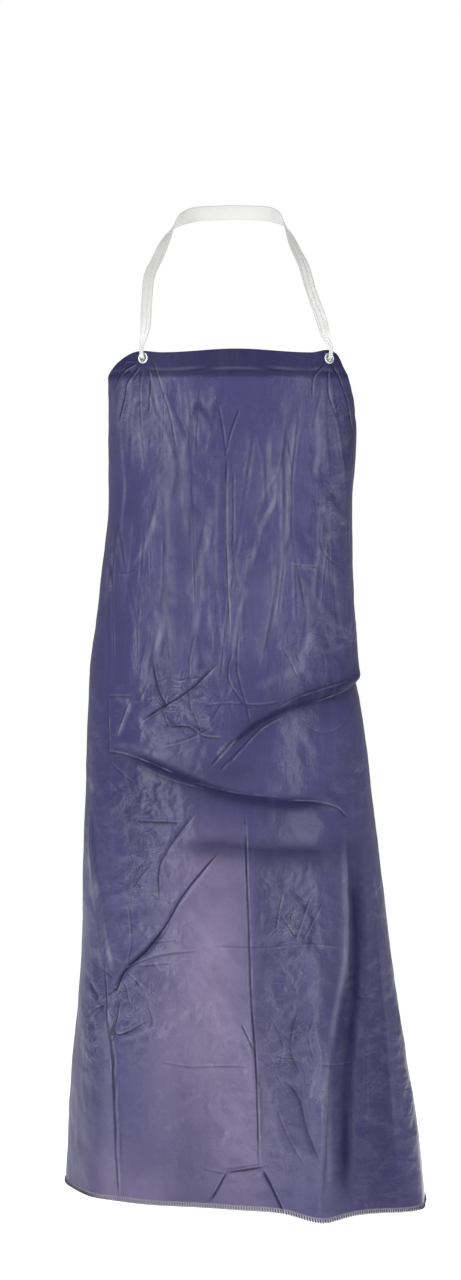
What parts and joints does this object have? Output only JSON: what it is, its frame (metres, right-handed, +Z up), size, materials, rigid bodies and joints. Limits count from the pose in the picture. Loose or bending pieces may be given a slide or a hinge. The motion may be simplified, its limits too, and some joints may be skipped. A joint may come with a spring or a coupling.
{
  "type": "butcher bib apron",
  "caption": "Long bib apron of thin glossy vinyl film with a doubled top hem, eyelets, overlocked bottom edge and a cotton neck tape, in the shape it hangs when worn.",
  "frame": {"origin": "middle of the neck tape, where it lies on the wearer's nape", "axes": "+Z up, -Y out of the apron's front, +X to the right as a viewer in front sees it"},
  "size_m": [0.4847, 0.3049, 1.3492],
  "materials": {
    "film": "glossy translucent film, creased",
    "thread": "overlock thread",
    "seam_thread": "dark sewing thread",
    "metal": "nickel plated",
    "tape": "woven cotton tape"
  },
  "bodies": {
    "neck_loop": {"neck_tape": "tape"},
    "apron": {"bottom_hem_overlock": "thread", "film_panel": "film", "left_neck_eyelet": "metal", "left_neck_eyelet_washer": "metal", "left_tape_knot": "tape", "left_waist_eyelet": "metal", "left_waist_eyelet_washer": "metal", "right_neck_eyelet": "metal", "right_neck_eyelet_washer": "metal", "right_tape_knot": "tape", "right_waist_eyelet": "metal", "right_waist_eyelet_washer": "metal", "top_hem_fold": "film", "top_hem_stitching": "seam_thread"}
  },
  "joints": [
    {"name": "apron_swing", "type": "hinge", "parent": "neck_loop", "child": "apron", "pos_m": [0, -0.16586, -0.2155], "axis": [-1, 0, 0], "range_deg": [0, 45]}
  ]
}
